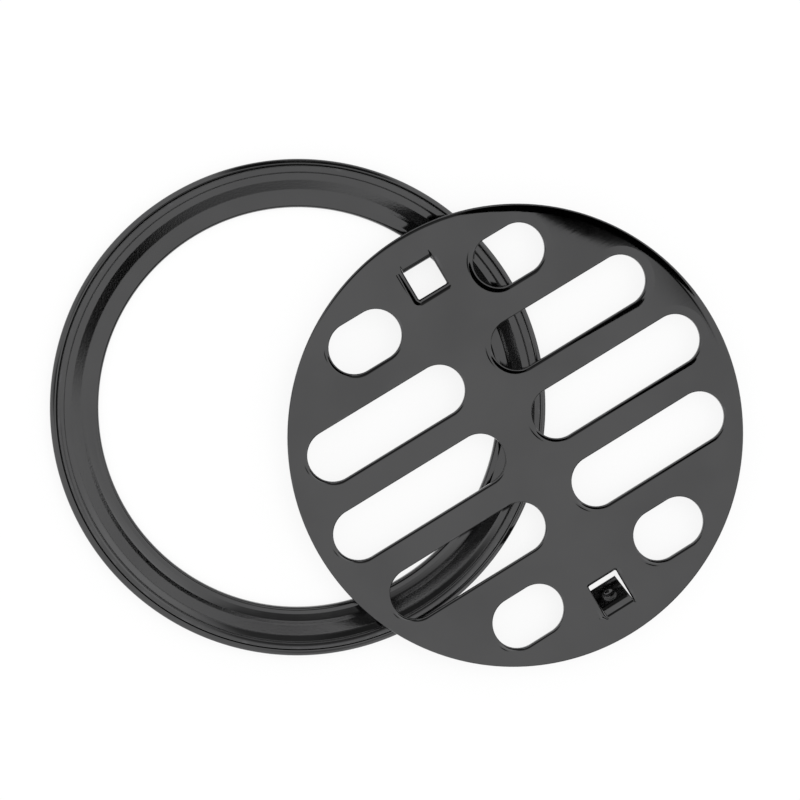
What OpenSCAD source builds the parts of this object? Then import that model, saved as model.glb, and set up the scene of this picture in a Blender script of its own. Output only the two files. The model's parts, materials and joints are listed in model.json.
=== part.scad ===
// Floor drain grate: a stepped trim ring and its snap-in strainer.
// The strainer has been lifted out and lies half over the ring, propped on its own two snap tabs.
// Millimetres, +Z up. The origin is on the ring's axis, at the level of its base.

/* [Trim ring] */
// Outside diameter of the trim ring
ring_d = 108; // [88:0.5:140]
// Height from the base to the top of the rim bead
ring_h = 6; // [5.2:0.1:10]
// Width of the rounded outer shoulder
shoulder_w = 1.8; // [1.2:0.1:3]
// Height that the rim bead stands above the shoulder
bead_rise = 1.2; // [0.8:0.1:1.4]
// Width of the rim bead
bead_w = 1.25; // [1:0.05:2]
// Width of the flat shelf under the strainer's edge
shelf_lap = 1.2; // [0.6:0.1:2]
// Width of the funnel face inside the shelf
cone_w = 2.85; // [1.5:0.05:5]
// Fall of the funnel face
cone_drop = 1.7; // [0.8:0.1:2]
// Width of the inner bead at the foot of the funnel face
inner_bead_w = 1.85; // [1.2:0.05:2.6]
// Height that the inner bead stands above the foot of the funnel face
inner_bead_rise = 0.7; // [0.3:0.1:1]
// Width of the rounded lip that leads into the throat
lip_w = 1.1; // [0.6:0.1:2]
// Thickness of the casting around the hollow underside
wall = 1.2; // [0.8:0.1:1.6]

/* [Strainer] */
// Thickness of the strainer's sheet
sheet_t = 1.2; // [0.8:0.1:1.6]
// Width of a slot
slot_w = 11.3; // [6:0.1:14]
// Width of the bars between the rows of slots
bar_w = 6.25; // [3:0.05:10]
// Width of the spine between the two columns of slots
spine_w = 8.5; // [5:0.1:14]
// Width of the plain margin between the slots' ends and the strainer's edge
margin_w = 4.1; // [2.5:0.1:8]

/* [Snap tabs] */
// Width of a snap tab
tab_w = 6.6; // [4:0.1:8]
// Length of a snap tab along the sheet, before it is bent
tab_len = 8.35; // [6:0.05:9]
// Inside radius of a tab's bend
bend_r = 0.5; // [0.3:0.1:0.8]
// Bend of the square tab
square_bend = 90; // [80:1:92]
// Bend of the splayed tab
splayed_bend = 48; // [40:1:70]
// Diameter of the dimple pressed in a tab
dimple_d = 3; // [2:0.1:4]
// Width of metal between a tab's hole and the slots beside it
hole_web = 6.4; // [3:0.1:10]

/* [Fits] */
// Clearance around the strainer in the ring's recess
drop_in_gap = 0.25; // [0.2:0.05:0.6]
// Depth of the strainer's face below the rim bead when it is seated
sink = 0.4; // [0:0.1:0.8]
// Bite of each tab beyond the throat wall before it springs inwards
snap_bite = 0.9; // [0.2:0.1:1.1]
// Cut on each side of a tab
tab_side_gap = 0.3; // [0.2:0.05:0.6]
// Gap between the strainer and the rim it leans on
rest_gap = 0.25; // [0.2:0.05:0.4]
// Gap between the tabs' tips and the floor
floor_gap = 0.1; // [0.05:0.05:0.3]

/* [Place of the strainer] */
// Turn of the slots about the upright
strainer_turn = 31.3; // [20:0.1:40]
// Bearing of the square tab's outer corner from the ring's axis
tab_bearing = 51.4; // [45:0.1:60]
// Gap between that corner and the throat wall
tab_stand_off = 0.4; // [0.3:0.1:4]

/* [Hidden] */
$fn = 96;

// Ring, from the outside inwards
ring_r = ring_d / 2;
bead_out_r = ring_r - shoulder_w;
recess_r = bead_out_r - bead_w;
strainer_r = recess_r - drop_in_gap;
shelf_in_r = strainer_r - shelf_lap;
cone_in_r = shelf_in_r - cone_w;
inner_bead_in_r = cone_in_r - inner_bead_w;
throat_r = inner_bead_in_r - lip_w;

// Ring, from the top down
shoulder_h = ring_h - bead_rise;
seat_h = ring_h - sink - sheet_t;
cone_foot_h = seat_h - cone_drop;
lip_drop = 0.4;
lip_h = cone_foot_h - lip_drop;
hollow_h = cone_foot_h - wall;
skirt_w = wall + 0.2;

// Strainer
slot_pitch = slot_w + bar_w;
slot_end_r = strainer_r - margin_w - slot_w / 2;
root_y = throat_r + snap_bite + bend_r;
hole_w = tab_w + 2 * tab_side_gap;
hole_in_y = root_y - tab_len;
hole_corner_r = 0.6;

// Bend of a tab: the flex is taken in a short gap part of the way round
fold_r = bend_r + sheet_t / 2;
stub_bend = 12;
flex_gap_bend = 20;
stub_overlap = 1;
dimple_depth = 0.5;

// Length of a tab's straight part past its bend
function straight_len(bend) = tab_len - fold_r * bend * PI / 180;
// Depth of a tab's tip below the underside of the sheet
function tip_drop(bend) = bend_r * (1 - cos(bend)) + straight_len(bend) * sin(bend);
// Distance of a tab's tip from the strainer's centre
function tip_y(bend) = root_y - bend_r * sin(bend) - straight_len(bend) * cos(bend);
// Turn of a point in plan
function turned(p, a) = [p.x * cos(a) - p.y * sin(a), p.x * sin(a) + p.y * cos(a)];

// Plan of the strainer: its square tab stands inside the throat, close to the wall
corner_at = (throat_r - tab_stand_off) * [cos(tab_bearing), sin(tab_bearing)];
strainer_at = corner_at - turned([tab_w / 2, root_y - bend_r], strainer_turn);

// Lean of the strainer: both tabs' tips stand on the floor and the sheet tips against the rim.
// Its underside is the plane z = axis_h + slope * [x, y].
square_foot = strainer_at + turned([0, tip_y(square_bend)], strainer_turn);
splayed_foot = strainer_at + turned([0, -tip_y(splayed_bend)], strainer_turn);
foot_span = norm(square_foot - splayed_foot);
along = (square_foot - splayed_foot) / foot_span;
across = [-along.y, along.x];
slope_along = (tip_drop(square_bend) - tip_drop(splayed_bend)) / foot_span;
foot_line = splayed_foot * across;
rim_r = recess_r + bead_w / 2;
rim_top = ring_h + rest_gap;
foot_axis_h = floor_gap + tip_drop(splayed_bend) - slope_along * (splayed_foot * along);
least_spare = abs(slope_along) * sqrt(rim_r * rim_r - foot_line * foot_line);
spare_h = max(foot_axis_h - rim_top, least_spare);
slope_across = (-spare_h * foot_line - rim_r * sqrt(spare_h * spare_h - least_spare * least_spare))
    / (rim_r * rim_r - foot_line * foot_line);
slope = slope_along * along + slope_across * across;
axis_h = rim_top + spare_h - slope_across * foot_line;
strainer_h = axis_h + slope * strainer_at;
lean = atan(norm(slope));

module rounded_rect(w, h, r) {
    translate([-w / 2 + r, -h / 2]) square([w - 2 * r, h]);
    translate([-w / 2, -h / 2 + r]) square([w, h - 2 * r]);
    for (sx = [-1, 1], sy = [-1, 1]) translate([sx * (w / 2 - r), sy * (h / 2 - r)]) circle(r);
}

// Half section of the ring, before it is hollowed underneath
module ring_section() {
    // outer wall with its round shoulder
    translate([bead_out_r - shoulder_w, 0]) square([2 * shoulder_w, shoulder_h - shoulder_w]);
    translate([bead_out_r, shoulder_h - shoulder_w]) circle(shoulder_w);
    // rim bead
    translate([rim_r, ring_h - bead_w / 2]) circle(bead_w / 2);
    translate([recess_r, 0]) square([bead_w, ring_h - bead_w / 2]);
    // shelf, funnel face and the land under the inner bead
    polygon([
        [inner_bead_in_r, 0], [bead_out_r, 0], [bead_out_r, seat_h],
        [shelf_in_r, seat_h], [cone_in_r, cone_foot_h], [inner_bead_in_r, lip_h]
    ]);
    // inner bead
    translate([cone_in_r - inner_bead_w / 2, cone_foot_h + inner_bead_rise - inner_bead_w / 2])
        circle(inner_bead_w / 2);
    // lip and throat wall
    translate([inner_bead_in_r, lip_h - lip_w]) intersection() {
        circle(lip_w);
        translate([-lip_w, 0]) square(lip_w);
    }
    translate([throat_r, 0]) square([lip_w, lip_h - lip_w]);
}

module trim_ring() {
    color([0.13, 0.13, 0.14])
    rotate_extrude()
    difference() {
        ring_section();
        translate([throat_r + skirt_w, -1])
            square([ring_r - throat_r - 2 * skirt_w, hollow_h + 1]);
    }
}

// One slot with round ends, its end centres at x0 and x1
module slot(x0, x1, y) {
    translate([x0, y - slot_w / 2]) square([x1 - x0, slot_w]);
    for (x = [x0, x1]) translate([x, y]) circle(slot_w / 2);
}

// Slots in rows on both sides of the spine, as many rows as fit inside the margin.
// A row beside a tab's hole starts further out.
module slots() {
    last_row = floor(slot_end_r / slot_pitch);
    for (row = [-last_row : last_row]) {
        y = row * slot_pitch;
        beside_hole = abs(y) + slot_w / 2 > hole_in_y;
        start = (beside_hole ? hole_w / 2 + hole_web : spine_w / 2) + slot_w / 2;
        end = sqrt(slot_end_r * slot_end_r - y * y);
        if (end > start)
            for (side = [0, 1]) mirror([side, 0]) slot(start, end, y);
    }
}

// Side view of sheet that turns down through an angle and runs on flat. The bend's centre is at
// the origin, the flat part runs along +X, and the turn comes before it.
module bent_sheet(turn, flat) {
    outer_r = bend_r + sheet_t;
    reach = 2 * outer_r;
    difference() {
        intersection() {
            union() {
                circle(outer_r);
                square([flat, outer_r]);
            }
            polygon([
                [0, 0], [flat, 0], [flat, reach], [0, reach],
                reach * [-sin(turn / 2), cos(turn / 2)],
                reach * [-sin(turn), cos(turn)]
            ]);
        }
        circle(bend_r);
        square([flat + 1, bend_r]);
    }
}

// Extrudes a side view across the root of the tab on the +Y end, round the bend's centre
module at_root() {
    translate([tab_w / 2, root_y, -bend_r]) rotate([90, 0, -90]) linear_extrude(tab_w) children();
}

// Start of a tab's bend, which stays with the plate
module bend_stub() {
    at_root() mirror([1, 0]) bent_sheet(stub_bend, stub_overlap);
}

// A tab on the +Y end of the strainer, with the dimple pressed outwards through its middle
module snap_tab(bend) {
    ball_r = (dimple_d * dimple_d / 4 + dimple_depth * dimple_depth) / (2 * dimple_depth);
    difference() {
        union() {
            at_root() rotate(-bend) bent_sheet(bend - stub_bend - flex_gap_bend, straight_len(bend));
            on_tab(bend) intersection() {
                translate([0, 0, ball_r - dimple_depth]) sphere(ball_r);
                cube([2 * dimple_d, 2 * dimple_d, sheet_t], center = true);
            }
        }
        on_tab(bend) translate([0, 0, ball_r - dimple_depth + sheet_t]) sphere(ball_r);
    }
}

// Frame on the outward face of a tab, at the middle of its straight part, +Z into the sheet
module on_tab(bend) {
    translate([0, root_y, -bend_r]) rotate([bend, 0, 0])
        translate([0, -straight_len(bend) / 2, bend_r]) children();
}

// Lays a piece of the strainer, drawn with its underside at z = 0, where the strainer rests
module lean_on_ring() {
    translate([strainer_at.x, strainer_at.y, strainer_h])
        rotate(a = lean, v = [slope.y, -slope.x, 0])
            rotate(strainer_turn) children();
}

module strainer_plate() {
    color([0.14, 0.14, 0.15])
    lean_on_ring() {
        linear_extrude(sheet_t) difference() {
            circle(strainer_r);
            slots();
            for (side = [0, 1]) mirror([0, side])
                translate([0, (root_y + hole_in_y) / 2])
                    rounded_rect(hole_w, root_y - hole_in_y, hole_corner_r);
        }
        for (side = [0, 1]) mirror([0, side, 0]) bend_stub();
    }
}

module snap_tab_square() {
    color([0.18, 0.18, 0.19]) lean_on_ring() snap_tab(square_bend);
}

module snap_tab_splayed() {
    color([0.18, 0.18, 0.19]) lean_on_ring() mirror([0, 1, 0]) snap_tab(splayed_bend);
}

trim_ring();
strainer_plate();
snap_tab_square();
snap_tab_splayed();
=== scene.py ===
import json
import math

import bmesh
import bpy
from mathutils import Matrix, Vector


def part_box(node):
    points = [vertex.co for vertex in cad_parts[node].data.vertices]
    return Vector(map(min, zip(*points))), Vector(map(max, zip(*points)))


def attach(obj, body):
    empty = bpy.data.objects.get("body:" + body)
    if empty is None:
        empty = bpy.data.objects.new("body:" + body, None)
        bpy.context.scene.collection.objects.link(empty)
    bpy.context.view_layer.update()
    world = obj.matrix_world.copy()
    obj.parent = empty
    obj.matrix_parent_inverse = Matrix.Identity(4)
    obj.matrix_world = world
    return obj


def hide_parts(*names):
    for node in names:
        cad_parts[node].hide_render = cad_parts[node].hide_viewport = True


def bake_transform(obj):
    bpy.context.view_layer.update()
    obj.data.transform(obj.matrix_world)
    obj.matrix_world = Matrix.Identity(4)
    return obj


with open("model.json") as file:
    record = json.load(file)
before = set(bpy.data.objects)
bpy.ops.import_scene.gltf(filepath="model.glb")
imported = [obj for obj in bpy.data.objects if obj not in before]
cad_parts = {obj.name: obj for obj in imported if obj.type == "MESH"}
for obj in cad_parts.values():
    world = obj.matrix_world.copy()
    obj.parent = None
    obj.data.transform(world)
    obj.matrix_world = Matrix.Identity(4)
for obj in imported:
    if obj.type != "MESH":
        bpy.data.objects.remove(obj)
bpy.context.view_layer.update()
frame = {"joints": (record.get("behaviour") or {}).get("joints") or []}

MM = 0.001

# ---- Trim ring ----
# The trim ring is one brass casting. Its show side is turned: a round shoulder, a rim bead, a shelf
# for the strainer's edge, a funnel face, an inner bead and a lip. The underside is left hollow.
ring_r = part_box("trim_ring")[1].x / MM
ring_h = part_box("trim_ring")[1].z / MM
shoulder_w = 1.8
bead_w = 1.25
shelf_w = 1.45
funnel_w = 2.85
inner_bead_w = 1.85
lip_w = 1.1
skirt_w = 1.4
groove_w = 0.25
groove_depth = 0.7
foot_corner_r = 0.2
hollow_corner_r = 0.4

bead_out_r = ring_r - shoulder_w
recess_r = bead_out_r - bead_w
shelf_in_r = recess_r - shelf_w
funnel_foot_r = shelf_in_r - funnel_w
inner_bead_in_r = funnel_foot_r - inner_bead_w
throat_r = inner_bead_in_r - lip_w
shoulder_h = ring_h - 1.2
shelf_h = ring_h - 1.6
funnel_foot_h = shelf_h - 1.7
lip_h = funnel_foot_h - 0.4
hollow_h = funnel_foot_h - 1.2

# Corners of the ring's section as (radius, height, rounding): over the show side from outside in,
# then back round the hollow
ring_corners = [
    # Outer wall and shoulder
    (ring_r, 0, foot_corner_r),
    (ring_r, shoulder_h - 0.9, 0.8),
    (bead_out_r + 3 * groove_w, shoulder_h, 0.6),
    # Fine groove round the rim bead
    (bead_out_r + 2 * groove_w, shoulder_h, 0.05),
    (bead_out_r + groove_w, shoulder_h - groove_depth, 0.05),
    # Rim bead
    (bead_out_r + 0.1, ring_h, 0.15),
    (recess_r, ring_h - 0.25, 0.3),
    # Shelf, which falls a little inwards
    (recess_r, shelf_h + 0.1, 0.2),
    (shelf_in_r, shelf_h - 0.25, 0.3),
    # Funnel face, flatter at its foot
    (funnel_foot_r + 0.8, shelf_h - 1.75, 1.5),
    (funnel_foot_r, funnel_foot_h - 0.4, 0.3),
    # Inner bead and lip
    (inner_bead_in_r + 0.35, funnel_foot_h - 0.7, 0.3),
    (inner_bead_in_r, lip_h - 0.3, 0.12),
    (throat_r, lip_h - 0.35, 0.8),
    # Throat wall and hollow underside
    (throat_r, 0, foot_corner_r),
    (throat_r + skirt_w, 0, foot_corner_r),
    (throat_r + skirt_w, hollow_h, hollow_corner_r),
    (ring_r - skirt_w, hollow_h, hollow_corner_r),
    (ring_r - skirt_w, 0, foot_corner_r),
]


def rounded_outline(corners, steps=6):
    """Points of a closed outline whose corners are rounded, each by its own radius."""
    points = []
    for index, (across, up, radius) in enumerate(corners):
        corner = Vector((across, up))
        to_last = (Vector(corners[index - 1][:2]) - corner).normalized()
        to_next = (Vector(corners[(index + 1) % len(corners)][:2]) - corner).normalized()
        half = to_last.angle(to_next) / 2
        centre = corner + (to_last + to_next).normalized() * radius / math.sin(half)
        start = corner + to_last * radius / math.tan(half) - centre
        end = corner + to_next * radius / math.tan(half) - centre
        for step in range(steps + 1):
            points.append(centre + start.slerp(end, step / steps) * radius)
    return points


def spun(bm, outline, steps):
    """Spins a closed outline of (radius, height) points right round the Z axis."""
    verts = [bm.verts.new((point.x, 0, point.y)) for point in outline]
    edges = [bm.edges.new((verts[i - 1], verts[i])) for i in range(len(verts))]
    bmesh.ops.spin(bm, geom=verts + edges, cent=(0, 0, 0), axis=(0, 0, 1),
                   angle=math.tau, steps=steps, use_merge=True, use_duplicate=False)


def finished(bm, name, material, sharp=40, pose=Matrix.Identity(4)):
    """Makes an object in metres from a bmesh in millimetres, closed and with its faces outward.
    Only the faces marked smooth stay smooth, and their edges are sharp past the given angle."""
    merge_dist = 0.001
    bmesh.ops.remove_doubles(bm, verts=bm.verts, dist=merge_dist)
    bmesh.ops.dissolve_degenerate(bm, edges=bm.edges, dist=merge_dist / 2)
    bmesh.ops.transform(bm, matrix=Matrix.Scale(MM, 4) @ pose, verts=bm.verts)
    bmesh.ops.recalc_face_normals(bm, faces=bm.faces)
    smooth = [face.smooth for face in bm.faces]
    mesh = bpy.data.meshes.new(name)
    bm.to_mesh(mesh)
    bm.free()
    mesh.set_sharp_from_angle(angle=math.radians(sharp))
    mesh.polygons.foreach_set("use_smooth", smooth)
    mesh.materials.append(material)
    piece = bpy.data.objects.new(name, mesh)
    bpy.context.scene.collection.objects.link(piece)
    return piece


def wire(tree, socket, source):
    """Links source to socket, or sets socket to a plain value."""
    if isinstance(source, bpy.types.NodeSocket):
        tree.links.new(source, socket)
    else:
        socket.default_value = source


def math_node(tree, operation, *values):
    """Adds a Math node that works on the given sockets or numbers."""
    node = tree.nodes.new("ShaderNodeMath")
    node.operation = operation
    for socket, value in zip(node.inputs, values):
        wire(tree, socket, value)
    return node.outputs[0]


def eased(tree, value, low, high, to_low=0.0, to_high=1.0):
    """Maps value from low..high to to_low..to_high, easing in and out."""
    node = tree.nodes.new("ShaderNodeMapRange")
    node.interpolation_type = "SMOOTHSTEP"
    wire(tree, node.inputs["Value"], value)
    node.inputs["From Min"].default_value = low
    node.inputs["From Max"].default_value = high
    node.inputs["To Min"].default_value = to_low
    node.inputs["To Max"].default_value = to_high
    return node.outputs["Result"]


def noise(tree, vector, scale, detail=2.0, roughness=0.5):
    """Adds a noise of so many features per metre."""
    node = tree.nodes.new("ShaderNodeTexNoise")
    wire(tree, node.inputs["Vector"], vector)
    node.inputs["Scale"].default_value = scale
    node.inputs["Detail"].default_value = detail
    node.inputs["Roughness"].default_value = roughness
    return node.outputs["Fac"]


def bumped(tree, height, distance, strength, below=None):
    """Adds a relief of that depth in metres, laid over the relief below it."""
    node = tree.nodes.new("ShaderNodeBump")
    wire(tree, node.inputs["Height"], height)
    node.inputs["Distance"].default_value = distance
    node.inputs["Strength"].default_value = strength
    if below is not None:
        tree.links.new(below, node.inputs["Normal"])
    return node.outputs["Normal"]


def split(tree, vector):
    """The X, Y and Z parts of a vector."""
    node = tree.nodes.new("ShaderNodeSeparateXYZ")
    wire(tree, node.inputs[0], vector)
    return node.outputs


def joined(tree, x=0.0, y=0.0):
    """A vector with these X and Y parts, and no Z part."""
    node = tree.nodes.new("ShaderNodeCombineXYZ")
    wire(tree, node.inputs[0], x)
    wire(tree, node.inputs[1], y)
    return node.outputs[0]


def mixed_colour(tree, factor, first, second):
    """Mixes two colours, which are inputs 6 and 7 and output 2 of a Mix node."""
    node = tree.nodes.new("ShaderNodeMix")
    node.data_type = "RGBA"
    wire(tree, node.inputs["Factor"], factor)
    wire(tree, node.inputs[6], first)
    wire(tree, node.inputs[7], second)
    return node.outputs[2]


plating_deep = (0.078, 0.078, 0.079, 1)
plating_pale = (0.088, 0.088, 0.089, 1)
plating_rubbed = (0.125, 0.125, 0.13, 1)


def black_plating(name, high_spots, satin=1.0):
    """Polished black plating: nearly even, a little cloudy, and rubbed in patches where
    high_spots, a function of the node tree and the place, gives 1. It returns the material's node
    tree, shader and place as well. A satin above 1 makes it less of a mirror."""
    material = bpy.data.materials.new(name)
    material.use_nodes = True
    tree = material.node_tree
    shader = tree.nodes["Principled BSDF"]
    shader.inputs["Metallic"].default_value = 1
    place = tree.nodes.new("ShaderNodeTexCoord").outputs["Object"]
    cloud = eased(tree, noise(tree, place, scale=45, detail=3), low=0.3, high=0.7)
    plain = mixed_colour(tree, cloud, plating_deep, plating_pale)
    patches = eased(tree, noise(tree, place, scale=400, detail=4), low=0.5, high=0.85)
    rubbed = math_node(tree, "MULTIPLY", high_spots(tree, place), patches)
    wire(tree, shader.inputs["Base Color"], mixed_colour(tree, rubbed, plain, plating_rubbed))
    smear = eased(tree, noise(tree, place, scale=90, detail=4), low=0.3, high=0.75,
                  to_low=0.05 * satin, to_high=0.11 * satin)
    wire(tree, shader.inputs["Roughness"], smear)
    return material, tree, shader, place


def ring_high_spots(tree, place):
    """1 on the crown of the rim bead, which every foot and tool rubs."""
    height = split(tree, place)[2]
    return eased(tree, height, low=(ring_h - 0.15) * MM, high=ring_h * MM)


ring_plating, tree, shader, place = black_plating("ring_black_plating", ring_high_spots, satin=1.4)
east, north, _ = split(tree, place)
length = tree.nodes.new("ShaderNodeVectorMath")
length.operation = "LENGTH"
wire(tree, length.inputs[0], joined(tree, east, north))
radius = length.outputs["Value"]
# Fine lines from the lathe run round the whole show side
lathe_lines = noise(tree, joined(tree, radius), scale=2500, detail=3)
relief = bumped(tree, lathe_lines, distance=0.004 * MM, strength=0.5)
# The funnel face keeps the grain of the casting
above_foot = eased(tree, radius, low=(funnel_foot_r - 0.4) * MM, high=(funnel_foot_r + 0.4) * MM)
below_shelf = eased(tree, radius, low=(shelf_in_r - 0.2) * MM, high=(shelf_in_r + 0.4) * MM,
                    to_low=1, to_high=0)
on_funnel = math_node(tree, "MULTIPLY", above_foot, below_shelf)
grain = noise(tree, place, scale=2600, detail=4, roughness=0.65)
cast_grain = math_node(tree, "MULTIPLY", grain, on_funnel)
relief = bumped(tree, cast_grain, distance=0.06 * MM, strength=0.7, below=relief)
wire(tree, shader.inputs["Normal"], relief)

bm = bmesh.new()
spun(bm, rounded_outline(ring_corners), steps=256)
for face in bm.faces:
    face.smooth = True
trim_ring = finished(bm, "black_trim_ring", ring_plating, sharp=50)
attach(trim_ring, "ring")
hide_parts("trim_ring")

# ---- Strainer plate ----
# The strainer is punched from 1.2 mm sheet: ten round-ended slots, and a hole behind each snap tab.
# The punch draws the show side down a little round every cut, and the rim is rolled the same way.
joints = {joint["name"]: joint for joint in frame["joints"]}
square_hinge = Vector(joints["square_tab_flex"]["pos_m"]) / MM
splayed_hinge = Vector(joints["splayed_tab_flex"]["pos_m"]) / MM
along_slots = Vector(joints["splayed_tab_flex"]["axis"]).normalized()
across_slots = (square_hinge - splayed_hinge).normalized()
out_of_sheet = along_slots.cross(across_slots).normalized()
sheet_t = 1.2
bend_r = 0.5
root_y = (square_hinge - splayed_hinge).length / 2
sheet_origin = (square_hinge + splayed_hinge) / 2 + out_of_sheet * bend_r
strainer_pose = Matrix.Translation(sheet_origin) @ Matrix(
    (along_slots, across_slots, out_of_sheet)).transposed().to_4x4()

strainer_r = recess_r - 0.25
slot_w = 11.3
slot_web = 6.25
slot_pitch = slot_w + slot_web
spine_w = 8.5
rim_web = 4.1
slot_end_r = strainer_r - rim_web - slot_w / 2
hole_w = 7.2
hole_web = 6.4
hole_corner_r = 0.35
tab_w = hole_w - 0.2
tab_len = 8.35
hole_in_y = root_y - tab_len


def drawn_edge(tight, easy, fade, steps=24):
    """Section of a drawn-down edge as (distance from the cut, depth) pairs, from face to cut.
    Its radius is tight at the cut. At the face easy is added to it, and that share fades out as
    the edge tilts; fade is the tilt, in degrees, by which most of it has gone."""
    tilts = [math.pi / 2 * (step / steps) ** 2 for step in range(steps + 1)]
    run, fall = [0.0], [0.0]
    for last, tilt in zip(tilts, tilts[1:]):
        middle = (last + tilt) / 2
        arc = (tight + easy * math.exp(-math.degrees(middle) / fade)) * (tilt - last)
        run.append(run[-1] + arc * math.cos(middle))
        fall.append(fall[-1] + arc * math.sin(middle))
    return [(run[-1] - x, depth) for x, depth in zip(run, fall)]


corner_steps = 12


def loop_at(bm, centre, half_x, half_y, corner_r, z, segments=4 * corner_steps):
    """A closed loop of edges round a rectangle with round corners; with no straights, a circle."""
    turn = Matrix.Rotation(math.pi / segments, 4, "Z")
    ring = bmesh.ops.create_circle(bm, segments=segments, radius=corner_r, matrix=turn)["verts"]
    for vert in ring:
        vert.co.x += math.copysign(half_x - corner_r, vert.co.x) + centre[0]
        vert.co.y += math.copysign(half_y - corner_r, vert.co.y) + centre[1]
        vert.co.z = z
    return ring


def bridged(bm, loops):
    """Joins each loop of vertices to the next one with faces."""
    for upper, lower in zip(loops, loops[1:]):
        bmesh.ops.bridge_loops(bm, edges=edges_between(upper) + edges_between(lower))


def edges_between(verts):
    """The edges that have both ends among these vertices."""
    chosen = set(verts)
    return [e for e in {e for v in verts for e in v.link_edges} if chosen.issuperset(e.verts)]


slot_edge = drawn_edge(tight=0.3, easy=14, fade=7)
tab_hole_edge = drawn_edge(tight=1.0, easy=14, fade=6)
rim_edge = drawn_edge(tight=0.35, easy=18, fade=5)
root_fade = 1.2
root_share = 0.4
bm = bmesh.new()


def punched(bm, centre, half_x, half_y, corner_r, edge, root=None):
    """One punched opening: its drawn edge and its wall. At a tab's root the sheet isn't cut, so
    there the loops stay open, and over the last root_fade the drawn edge rises to the face and
    narrows to root_share of its width. A flat end wall closes the opening."""

    def on_root(vert):
        """Whether a vertex lies on the line where the tab joins the sheet."""
        return abs(vert.co.y - root) < 1e-4

    loops = []
    for off, z in [(off, sheet_t - depth) for off, depth in edge] + [(0, 0)]:
        loop = loop_at(bm, centre, half_x + off, half_y + off, corner_r + off, z)
        if root is not None:
            side = math.copysign(1, root)
            for vert in loop:
                beyond = side * (vert.co.y - centre[1]) - half_y + corner_r
                if beyond > 0:
                    turn = math.atan2(beyond, abs(vert.co.x) - half_x + corner_r) / (math.pi / 2)
                    fade = 1 - (turn * corner_steps - 0.5) / (corner_steps - 1)
                    past_side = off * (root_share + (1 - root_share) * fade)
                    vert.co.x = math.copysign(half_x + past_side, vert.co.x)
                    vert.co.y = root - side * root_fade * fade
                    if z > 0:
                        vert.co.z = sheet_t - (sheet_t - z) * fade
            across = [e for e in edges_between(loop) if all(on_root(v) for v in e.verts)]
            bmesh.ops.delete(bm, geom=across, context="EDGES_FACES")
        loops.append(loop)
    bridged(bm, loops)
    if root is not None:
        end_wall = [v for loop in loops[-2:] for v in loop if on_root(v)]
        bmesh.ops.contextual_create(bm, geom=end_wall)


for row in range(-2, 3):
    row_y = row * slot_pitch
    beside_tab = abs(row_y) + slot_w / 2 > hole_in_y
    start = hole_w / 2 + hole_web if beside_tab else spine_w / 2
    end = math.sqrt(slot_end_r ** 2 - row_y ** 2) + slot_w / 2
    for side in (-1, 1):
        punched(bm, (side * (start + end) / 2, row_y), (end - start) / 2, slot_w / 2, slot_w / 2,
                slot_edge)
for side in (-1, 1):
    punched(bm, (0, side * (root_y + hole_in_y) / 2), hole_w / 2, (root_y - hole_in_y) / 2,
            hole_corner_r, tab_hole_edge, root=side * root_y)

# The rim's loops, from the face over the rolled edge to the small bevel at the back
back_bevel = 0.15
rim_section = [(strainer_r - off, sheet_t - depth) for off, depth in rim_edge]
rim_section += [(strainer_r, back_bevel), (strainer_r - back_bevel, 0)]
bridged(bm, [loop_at(bm, (0, 0), r, r, r, z, segments=192) for r, z in rim_section])
# The face and the back are flat, and span what is left between the rim and the openings
for up in (1, -1):
    border = [edge for edge in bm.edges
              if edge.is_boundary and all(up * (v.co.z - sheet_t / 2) > 0 for v in edge.verts)]
    bmesh.ops.triangle_fill(bm, use_beauty=True, edges=border, normal=(0, 0, up))
# Only the drawn edges and the walls are smooth
level = 0.9999
bm.normal_update()
for face in bm.faces:
    face.smooth = abs(face.normal.z) < level


def in_sheet(tree, place):
    """The place measured in the strainer's own frame: along the slots, across them, and up."""
    turn = tree.nodes.new("ShaderNodeMapping")
    turn.vector_type = "TEXTURE"
    turn.inputs["Location"].default_value = sheet_origin * MM
    turn.inputs["Rotation"].default_value = strainer_pose.to_euler()
    wire(tree, turn.inputs["Vector"], place)
    return turn.outputs[0]


def sheet_high_spots(tree, place):
    """1 on the tight part of the drawn edges, just below the face."""
    height = split(tree, in_sheet(tree, place))[2]
    above_cut = eased(tree, height, low=(sheet_t - 0.5) * MM, high=(sheet_t - 0.3) * MM)
    below_face = eased(tree, height, low=(sheet_t - 0.2) * MM, high=(sheet_t - 0.1) * MM,
                       to_low=1, to_high=0)
    return math_node(tree, "MULTIPLY", above_cut, below_face)


strainer_plating, tree, shader, place = black_plating(
    "strainer_black_plating", sheet_high_spots, satin=0.6)
# Fine polishing lines run along the slots
stretch = tree.nodes.new("ShaderNodeMapping")
stretch.inputs["Scale"].default_value = (0.04, 1, 1)
wire(tree, stretch.inputs["Vector"], in_sheet(tree, place))
polish_lines = noise(tree, stretch.outputs[0], scale=1800, detail=3)
relief = bumped(tree, polish_lines, distance=0.003 * MM, strength=0.4)
# The sheet isn't quite flat
waves = noise(tree, place, scale=30, detail=1)
relief = bumped(tree, waves, distance=0.02 * MM, strength=0.5, below=relief)
wire(tree, shader.inputs["Normal"], relief)

strainer = finished(bm, "black_strainer", strainer_plating, sharp=60, pose=strainer_pose)
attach(strainer, "strainer")
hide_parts("strainer_plate")

# ---- Snap tabs ----
# Each snap tab is part of the strainer's sheet, cut on three sides. A dimple is pressed through it,
# and then it is bent down about a line at its root, so that its dimple snaps under the ring's lip.
dimple_d = 3
dimple_depth = 0.5
tab_edge_r = 0.18
fold_r = bend_r + sheet_t / 2


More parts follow.
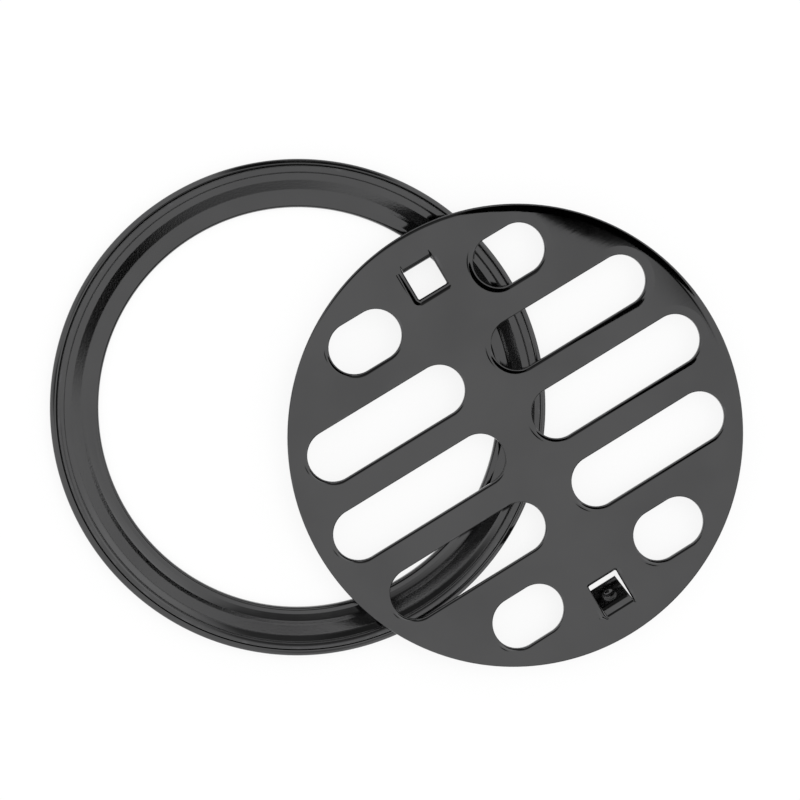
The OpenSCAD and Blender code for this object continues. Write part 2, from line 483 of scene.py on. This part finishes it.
def folded(point, bend):
    """Where a point of the flat blank goes when the tab bends; its y is measured from the root."""
    arc = fold_r * bend
    tilt = min(point.y / fold_r, bend)
    past = max(0, point.y - arc)
    rise = bend_r + point.z
    return Vector((
        point.x,
        root_y - rise * math.sin(tilt) - past * math.cos(tilt),
        rise * math.cos(tilt) - bend_r - past * math.sin(tilt)))


def snap_tab(name, bend_deg, side, node):
    """One tab on the side of the strainer that side gives, bent down from the sheet by bend_deg."""
    bend = math.radians(bend_deg)
    bm = bmesh.new()
    middle = Matrix.Translation((0, tab_len / 2, sheet_t))
    blank = middle @ Matrix.Diagonal((tab_w, tab_len, 1, 1))
    bmesh.ops.create_grid(bm, x_segments=34, y_segments=48, size=0.5, matrix=blank)
    # The cut sides and the tip are beveled, and the root isn't
    cut_edges = [edge for edge in bm.edges
                 if edge.is_boundary and max(v.co.y for v in edge.verts) > 0.001]
    back = bmesh.ops.extrude_face_region(bm, geom=bm.faces[:])
    moved = [item for item in back["geom"] if isinstance(item, bmesh.types.BMVert)]
    bmesh.ops.translate(bm, verts=moved, vec=(0, 0, -sheet_t))
    bmesh.ops.recalc_face_normals(bm, faces=bm.faces)
    bmesh.ops.bevel(bm, geom=[edge for edge in cut_edges if edge.is_valid], offset=tab_edge_r,
                    segments=4, affect="EDGES", profile=0.5, material=-1)
    # The dimple is the cap of a ball, midway between the bend and the tip
    dimple_y = (tab_len + fold_r * bend) / 2
    ball_r = (dimple_d ** 2 / 4 + dimple_depth ** 2) / (2 * dimple_depth)
    for vert in bm.verts:
        from_middle = math.hypot(vert.co.x, vert.co.y - dimple_y)
        if from_middle < dimple_d / 2:
            vert.co.z -= math.sqrt(ball_r ** 2 - from_middle ** 2) - (ball_r - dimple_depth)
        vert.co = folded(vert.co, bend)
    for face in bm.faces:
        face.smooth = True
    pose = strainer_pose @ Matrix.Diagonal((1, side, 1, 1))
    tab = finished(bm, name, strainer_plating, sharp=40, pose=pose)
    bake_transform(tab)
    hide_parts(node)


snap_tab("black_square_tab", 90, 1, "snap_tab_square")
snap_tab("black_splayed_tab", 48, -1, "snap_tab_splayed")

# ---- Floor, light and camera ----
# A plain white floor under a white overhead light, with darker gaps between the light and the walls
# that the polished plating mirrors along its rolled edges. The camera looks almost straight down.
floor_r = 1.5
floor_glow = 0.85
floor_glow_mirrored = 0.35
flag_r = 0.09
flag_centre = (0.15, 0.13, 0.25)


def flat_disc(name, radius, segments, material):
    """A flat disc, in metres, for the studio round the grate."""
    mesh = bpy.data.meshes.new(name)
    bm = bmesh.new()
    bmesh.ops.create_circle(bm, cap_ends=True, segments=segments, radius=radius)
    bm.to_mesh(mesh)
    bm.free()
    mesh.materials.append(material)
    disc = bpy.data.objects.new(name, mesh)
    bpy.context.scene.collection.objects.link(disc)
    return disc


def mixed_shader(tree, factor, first, second):
    """Mixes two shaders."""
    node = tree.nodes.new("ShaderNodeMixShader")
    wire(tree, node.inputs[0], factor)
    wire(tree, node.inputs[1], first)
    wire(tree, node.inputs[2], second)
    return node.outputs[0]


def seen_directly(tree, rays):
    """1 for what the camera sees, also through glass, and 0 for light and reflections."""
    return math_node(
        tree, "MAXIMUM", rays.outputs["Is Camera Ray"], rays.outputs["Is Transmission Ray"])


floor_white = bpy.data.materials.new("floor_white")
floor_white.use_nodes = True
tree = floor_white.node_tree
tree.nodes.clear()
paper = tree.nodes.new("ShaderNodeBsdfDiffuse")
paper.inputs["Color"].default_value = (0.9, 0.9, 0.9, 1)
glow = tree.nodes.new("ShaderNodeEmission")
rays = tree.nodes.new("ShaderNodeLightPath")
glow_mirrored = math_node(tree, "MULTIPLY", rays.outputs["Is Glossy Ray"], floor_glow_mirrored)
glow_share = math_node(tree, "MULTIPLY_ADD", seen_directly(tree, rays), floor_glow, glow_mirrored)
out = tree.nodes.new("ShaderNodeOutputMaterial")
wire(tree, out.inputs["Surface"],
     mixed_shader(tree, glow_share, paper.outputs[0], glow.outputs[0]))
floor = flat_disc("floor", floor_r, 64, floor_white)

# A black flag hangs over the upper right, where only mirror reflections see it
velvet = bpy.data.materials.new("black_velvet")
velvet.use_nodes = True
velvet_shader = velvet.node_tree.nodes["Principled BSDF"]
velvet_shader.inputs["Base Color"].default_value = (0.002, 0.002, 0.002, 1)
velvet_shader.inputs["Specular IOR Level"].default_value = 0
flag = flat_disc("black_flag", flag_r, 96, velvet)
flag.location = flag_centre
flag.visible_camera = False
flag.visible_diffuse = False
flag.visible_shadow = False
flag.visible_transmission = False

# The sky is white to the camera. Light and reflections see the dark gaps in it as well.
world = bpy.data.worlds.new("studio")
bpy.context.scene.world = world
world.use_nodes = True
tree = world.node_tree
tree.nodes.clear()
direction = tree.nodes.new("ShaderNodeTexCoord").outputs["Generated"]


def round_patch(tree, azimuth, from_zenith, spread, soft):
    """1 inside a round patch of the sky in that direction, and 0 outside it. All in degrees."""
    aim = Vector((math.sin(math.radians(from_zenith)), 0, math.cos(math.radians(from_zenith))))
    aim.rotate(Matrix.Rotation(math.radians(azimuth), 3, "Z"))
    dot = tree.nodes.new("ShaderNodeVectorMath")
    dot.operation = "DOT_PRODUCT"
    wire(tree, dot.inputs[0], direction)
    dot.inputs[1].default_value = aim
    return eased(tree, dot.outputs["Value"], math.cos(math.radians(spread + soft)),
                 math.cos(math.radians(spread - soft)))


# The dark gaps between the lights: azimuth, angle from the zenith, spread and softness in
# degrees, and how dark each one is
gaps = [
    # Overhead
    (110, 28, 14, 3, 0.88),
    (80, 22, 9.5, 2, 0.8),
    (5, 17.6, 1.5, 0.8, 1),
    # Low on the near side
    (-78, 77, 13, 7, 0.55),
    (-58, 75, 13, 6, 0.65),
    (-38, 74, 13, 6, 1),
    (-22, 74, 11, 5, 1),
    # Low on the far side and on the left
    (84, 88, 20, 4, 0.95),
    (150, 70, 9, 4, 1),
    (176, 72, 9, 4, 1),
]
dark = 0.0
for azimuth, from_zenith, spread, soft, depth in gaps:
    shade = round_patch(tree, azimuth, from_zenith, spread, soft)
    dark = math_node(tree, "MAXIMUM", math_node(tree, "MULTIPLY", shade, depth), dark)
light = math_node(tree, "SUBTRACT", 1.0, dark)
# One patch of the light is brighter than the rest
extra_light = 0.4
patch = round_patch(tree, azimuth=33, from_zenith=27, spread=6, soft=4)
light = math_node(tree, "ADD", light, math_node(tree, "MULTIPLY", patch, extra_light))
studio = tree.nodes.new("ShaderNodeBackground")
studio.inputs["Color"].default_value = (1, 1, 1, 1)
wire(tree, studio.inputs["Strength"], light)
backdrop = tree.nodes.new("ShaderNodeBackground")
backdrop.inputs["Color"].default_value = (1, 1, 1, 1)
rays = tree.nodes.new("ShaderNodeLightPath")
out = tree.nodes.new("ShaderNodeOutputWorld")
wire(tree, out.inputs["Surface"],
     mixed_shader(tree, seen_directly(tree, rays), studio.outputs[0], backdrop.outputs[0]))

lamp = bpy.data.lights.new("overhead_softbox", "AREA")
lamp.shape = "SQUARE"
lamp.size = 1.0
lamp.energy = 6
softbox = bpy.data.objects.new("overhead_softbox", lamp)
softbox.location = (0.1, 0.2, 1.2)
softbox.visible_glossy = False
bpy.context.scene.collection.objects.link(softbox)

camera_data = bpy.data.cameras.new("camera")
camera_data.sensor_width = 36
camera_data.lens = 98.79
camera = bpy.data.objects.new("camera", camera_data)
camera.location = (-0.04014, 0.01237, 0.47945)
camera.rotation_euler = (math.radians(-1.31), math.radians(-7.39), math.radians(0.32))
bpy.context.scene.collection.objects.link(camera)
bpy.context.scene.camera = camera
bpy.context.scene.view_settings.view_transform = "Standard"
